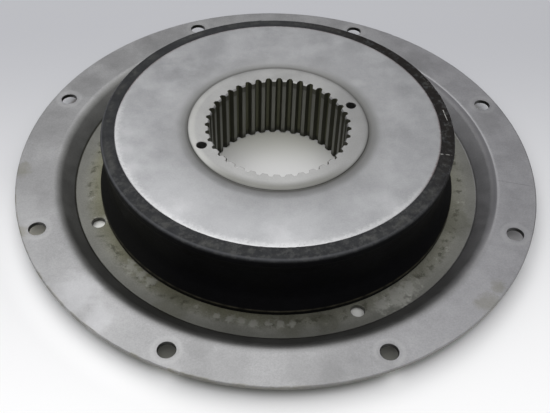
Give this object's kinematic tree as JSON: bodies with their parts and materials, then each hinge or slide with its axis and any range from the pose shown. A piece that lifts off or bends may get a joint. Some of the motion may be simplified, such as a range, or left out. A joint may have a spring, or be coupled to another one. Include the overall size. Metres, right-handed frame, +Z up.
{
  "type": "rubber drive coupling",
  "caption": "Flexible drive coupling: a dished steel flange plate with bolt holes, a thick bonded rubber ring, and a steel disc hub with an internally splined bore.",
  "frame": {"origin": "centre of the plane that the coupling rests on, which is the lower end of the hub's barrel", "axes": "+Z up along the axis of rotation, from the flywheel side to the hub's face; +X midway between two bolt holes"},
  "size_m": [0.4667, 0.4668, 0.0674],
  "materials": {
    "plate_steel": "matte, blasted, olive tinted on the sunken land",
    "rubber": "moulded, semi-matte, with a trimmed lip",
    "hub_steel": "matte, blasted, mottled grey, dark in the spline"
  },
  "bodies": {
    "root": {"flange_plate": "plate_steel", "rubber_ring": "rubber", "splined_hub": "hub_steel"}
  },
  "joints": []
}
